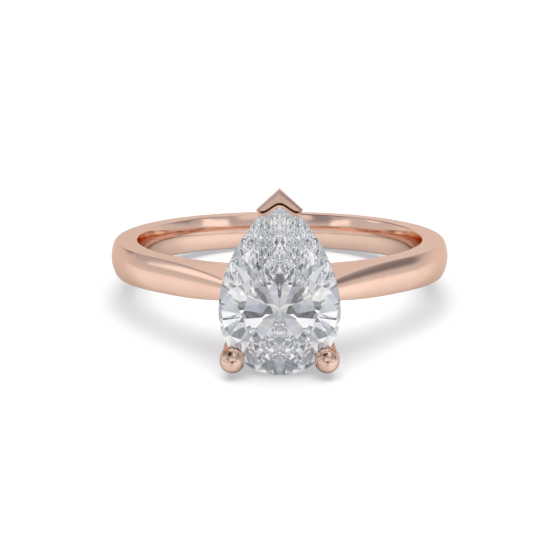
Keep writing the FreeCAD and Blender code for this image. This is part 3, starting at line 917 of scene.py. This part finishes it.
stone = build_stone("stone")
tool = build_stone("seat_tool", SEAT_CLEARANCE)
gallery_section = rail_section(GALLERY_WALL, GALLERY_BOTTOM, GALLERY_TOP)
base_section = rail_section(BASE_WALL, BASE_BOTTOM, BASE_TOP)
metal_pieces = {
    "shank": build_shank(),
    "left_shoulder": build_shoulder("left_arm", -1),
    "right_shoulder": build_shoulder("right_arm", 1),
    "gallery_rail": build_rail("gallery", gallery_section, GALLERY_HALF_WIDTH, GALLERY_POINT),
    "base_rail": build_rail("base", base_section, BASE_HALF_WIDTH, BASE_POINT, rail_top_level),
    "tip_claw": build_tip_claw("vee_claw"),
    "left_claw": build_round_claw("left_bead_claw", -1),
    "right_claw": build_round_claw("right_bead_claw", 1),
}
for node_name in ("gallery_rail", "tip_claw", "left_claw", "right_claw"):
    cut_away(metal_pieces[node_name], tool)
bpy.data.objects.remove(tool)
for node_name, piece in metal_pieces.items():
    place_piece(piece, node_name, gold)
place_piece(stone, "diamond", diamond_look)


# ---------------------------------------------------------------- floor, light and camera
# Bearings are in degrees: 0 is towards the viewer (-Y) and 90 to the right (+X).

SKY = [  # (elevation, colour)
    (-90, (1.08, 1.08, 1.08)),
    (90, (0.1, 0.09, 0.09)),
    (-8, (1.0, 1.0, 1.0)),
    (0, (0.7, 0.7, 0.7)),
    (8, (0.66, 0.67, 0.69)),
    (16, (0.52, 0.54, 0.59)),
    (50, (0.5, 0.52, 0.57)),
    (66, (0.48, 0.48, 0.5)),
]
SOFT_BOXES = [  # (bearing, elevation, half width, half height, softness, colour)
    (55, -40, 40, 34, 14, (1.2, 1.2, 1.21)),
    (-180, -40, 62, 48, 14, (0.8, 0.8, 0.79)),
    (180, -40, 62, 48, 14, (0.84, 0.84, 0.83)),
    (-100, 70, 70, 14, 6, (0.06, 0.05, 0.05)),
    (100, 70, 70, 14, 6, (0.95, 0.95, 0.97)),
    (-172, 32, 20, 25, 6, (0.86, 0.87, 0.91)),
    (168, 30, 24, 26, 8, (0.82, 0.83, 0.87)),
    (-130, 45, 34, 12, 8, (0.36, 0.36, 0.38)),
    (-137, 27, 13, 18, 5, (0.24, 0.23, 0.23)),
    (-82, 26, 16, 14, 6, (0.66, 0.68, 0.72)),
    (-95, 18, 8, 6, 3, (1.15, 1.15, 1.15)),
    (-57, 12, 10, 5, 2.5, (1.15, 1.15, 1.15)),
    (-38, 32, 9, 18, 5, (0.32, 0.33, 0.36)),
    (4, 9.5, 11, 7, 1, (0.03, 0.03, 0.035)),
    (4, 32, 34, 13, 5, (0.88, 0.87, 0.87)),
    (0, -17, 14, 6, 4, (0.6, 0.6, 0.62)),
    (0, -3, 18, 4.5, 2, (0.7, 0.68, 0.68)),
    (60, 13, 13, 6, 3, (1.15, 1.15, 1.15)),
    (90, 44, 26, 12, 8, (0.36, 0.37, 0.4)),
    (98, 19, 14, 7, 6, (0.24, 0.24, 0.25)),
]

STONE_TONES = [  # the patches that the stone draws its light from: the darkest, the brightest, and between
    (0.34, (0.04, 0.045, 0.07)),
    (0.68, (1.2, 1.2, 1.18)),
    (0.43, (0.28, 0.3, 0.36)),
    (0.5, (0.55, 0.57, 0.61)),
    (0.58, (0.85, 0.85, 0.84)),
]
STONE_TINTS = [  # the faint colours that the stone splits its light into
    (0.36, (0.95, 0.975, 1.06)),
    (0.62, (1.04, 1.02, 0.945)),
    (0.46, (1, 1, 1)),
    (0.54, (1, 1, 1)),
]
STONE_BOXES = [  # the dark that makes the bow tie
    (0, 8, 32, 5, 1, (0.0, 0.0, 0.0)),
]

FLOOR_REACH = 1.5
OVERHEAD_REACH = 0.15
OVERHEAD_HEIGHT = 0.25
OVERHEAD_STRENGTH = 3.0

CAMERA_DISTANCE = 60.0
CAMERA_ANGLE = math.radians(9.909)


def flat_card(name, reach, height, material):
    """A square stage card, level, at a height."""
    corners = [(-reach, -reach, 0), (reach, -reach, 0), (reach, reach, 0), (-reach, reach, 0)]
    mesh = bpy.data.meshes.new(name)
    mesh.from_pydata(corners, [], [(0, 1, 2, 3)])
    mesh.materials.append(material)
    card = add_object(name, mesh)
    card.location.z = height
    return card


def build_overhead_light():
    """A soft square light over the ring, which makes the shadow. Nothing sees it directly or in the metal."""
    material = bpy.data.materials.new("overhead")
    tree = empty_tree(material)
    output = node(tree, "ShaderNodeOutputMaterial")
    glow = node(tree, "ShaderNodeEmission")
    glow.inputs["Color"].default_value = (1, 1, 1, 1)
    glow.inputs["Strength"].default_value = OVERHEAD_STRENGTH
    tree.links.new(glow.outputs[0], output.inputs["Surface"])
    card = flat_card("overhead", OVERHEAD_REACH, OVERHEAD_HEIGHT, material)
    card.rotation_euler.x = math.pi
    card.visible_camera = False
    card.visible_glossy = False
    card.visible_transmission = False


def build_world():
    """A pale studio for the gold, patches of light for the stone, and plain white behind the ring."""
    world = bpy.data.worlds.new("studio")
    bpy.context.scene.world = world
    tree = empty_tree(world)
    link = tree.links.new

    def maths(kind, first, second=None, third=None):
        made = node(tree, "ShaderNodeMath", operation=kind)
        for index, value in enumerate((first, second, third)):
            if value is None:
                continue
            if isinstance(value, (int, float)):
                made.inputs[index].default_value = value
            else:
                link(value, made.inputs[index])
        return made.outputs[0]

    place = node(tree, "ShaderNodeTexCoord")
    parts = node(tree, "ShaderNodeSeparateXYZ")
    link(place.outputs["Generated"], parts.inputs[0])
    uneven = node(tree, "ShaderNodeTexNoise")
    uneven.inputs["Scale"].default_value = 3.5
    uneven.inputs["Detail"].default_value = 3.0
    link(place.outputs["Generated"], uneven.inputs["Vector"])
    shift = maths("MULTIPLY_ADD", uneven.outputs[0], 0.3, -0.15)
    bearing = maths("ARCTAN2", parts.outputs[0], maths("MULTIPLY", parts.outputs[1], -1.0))
    around = maths("ADD", bearing, shift)
    above = maths("MULTIPLY_ADD", shift, 0.4, maths("ARCSINE", parts.outputs[2]))

    height = node(tree, "ShaderNodeMapRange")
    height.inputs["From Min"].default_value = -QUARTER
    height.inputs["From Max"].default_value = QUARTER
    link(above, height.inputs["Value"])

    def mask(value, middle, half, soft):
        away = maths("ABSOLUTE", maths("SUBTRACT", value, math.radians(middle)))
        fade = node(tree, "ShaderNodeMapRange", interpolation_type="SMOOTHSTEP")
        fade.inputs["From Min"].default_value = math.radians(half + soft)
        fade.inputs["From Max"].default_value = math.radians(half - soft)
        link(away, fade.inputs["Value"])
        return fade.outputs[0]

    def with_boxes(colour, boxes):
        """Soft-edged boxes laid over a colour."""
        for middle, level, half_width, half_height, soft, tone in boxes:
            sideways = mask(around, middle, half_width, soft)
            upright = mask(above, level, half_height, soft)
            mix = node(tree, "ShaderNodeMix", data_type="RGBA")
            link(maths("MULTIPLY", sideways, upright), mix.inputs["Factor"])
            link(colour, mix.inputs["A"])
            mix.inputs["B"].default_value = (*tone, 1)
            colour = mix.outputs["Result"]
        return colour

    def ramp(noise, stops):
        """A noise's value turned into colours."""
        made = node(tree, "ShaderNodeValToRGB")
        set_ramp(made.color_ramp, stops)
        link(noise.outputs[0], made.inputs[0])
        return made.outputs[0]

    def studio(levels, boxes):
        """Colours by elevation, with soft-edged boxes laid over them."""
        sky = node(tree, "ShaderNodeValToRGB")
        sky.color_ramp.interpolation = "EASE"
        set_ramp(sky.color_ramp, [((degrees + 90) / 180, tone) for degrees, tone in levels])
        link(height.outputs[0], sky.inputs[0])
        return with_boxes(sky.outputs[0], boxes)

    path = node(tree, "ShaderNodeLightPath")
    both = node(tree, "ShaderNodeMix", data_type="RGBA")
    link(path.outputs["Is Transmission Ray"], both.inputs["Factor"])
    link(studio(SKY, SOFT_BOXES), both.inputs["A"])
    mirrored = node(tree, "ShaderNodeCombineXYZ")
    link(maths("ABSOLUTE", parts.outputs[0]), mirrored.inputs[0])
    link(parts.outputs[1], mirrored.inputs[1])
    link(parts.outputs[2], mirrored.inputs[2])
    facets = node(tree, "ShaderNodeTexNoise")
    facets.inputs["Scale"].default_value = 2.6
    facets.inputs["Detail"].default_value = 2.0
    link(mirrored.outputs[0], facets.inputs["Vector"])
    split = node(tree, "ShaderNodeTexNoise")
    split.inputs["Scale"].default_value = 9.0
    split.inputs["Detail"].default_value = 2.0
    link(place.outputs["Generated"], split.inputs["Vector"])
    tinted = node(tree, "ShaderNodeMix", data_type="RGBA", blend_type="MULTIPLY")
    tinted.inputs["Factor"].default_value = 1.0
    link(ramp(facets, STONE_TONES), tinted.inputs["A"])
    link(ramp(split, STONE_TINTS), tinted.inputs["B"])
    link(with_boxes(tinted.outputs["Result"], STONE_BOXES), both.inputs["B"])
    backdrop = node(tree, "ShaderNodeMix", data_type="RGBA")
    link(path.outputs["Is Camera Ray"], backdrop.inputs["Factor"])
    link(both.outputs["Result"], backdrop.inputs["A"])
    backdrop.inputs["B"].default_value = (1, 1, 1, 1)
    output = node(tree, "ShaderNodeOutputWorld")
    glow = node(tree, "ShaderNodeBackground")
    link(backdrop.outputs["Result"], glow.inputs["Color"])
    link(glow.outputs[0], output.inputs["Surface"])


def build_camera():
    """Where the ring is looked at from: in front of the head, a little above the hole's plane."""
    data = bpy.data.cameras.new("camera")
    data.lens = 64.98
    data.sensor_width = 36.0
    data.shift_x = 0.0007
    data.shift_y = -0.0502
    data.clip_start = 0.001
    camera = add_object("camera", data)
    looking = Vector((0, math.cos(CAMERA_ANGLE), -math.sin(CAMERA_ANGLE)))
    camera.location = RING @ (-CAMERA_DISTANCE * looking)
    looking = RING.to_3x3() @ looking
    camera.rotation_euler = looking.to_track_quat("-Z", "Y").to_euler()
    bpy.context.scene.camera = camera


flat_card("floor", FLOOR_REACH, min(cad_box[0][2], 0.0), floor_material())
build_world()
build_camera()
build_overhead_light()

scene = bpy.context.scene
scene.view_settings.view_transform = "Standard"
scene.cycles.max_bounces = 48
scene.cycles.transmission_bounces = 48
scene.cycles.glossy_bounces = 40
scene.cycles.caustics_reflective = True
scene.cycles.caustics_refractive = True
scene.cycles.blur_glossy = 0.5
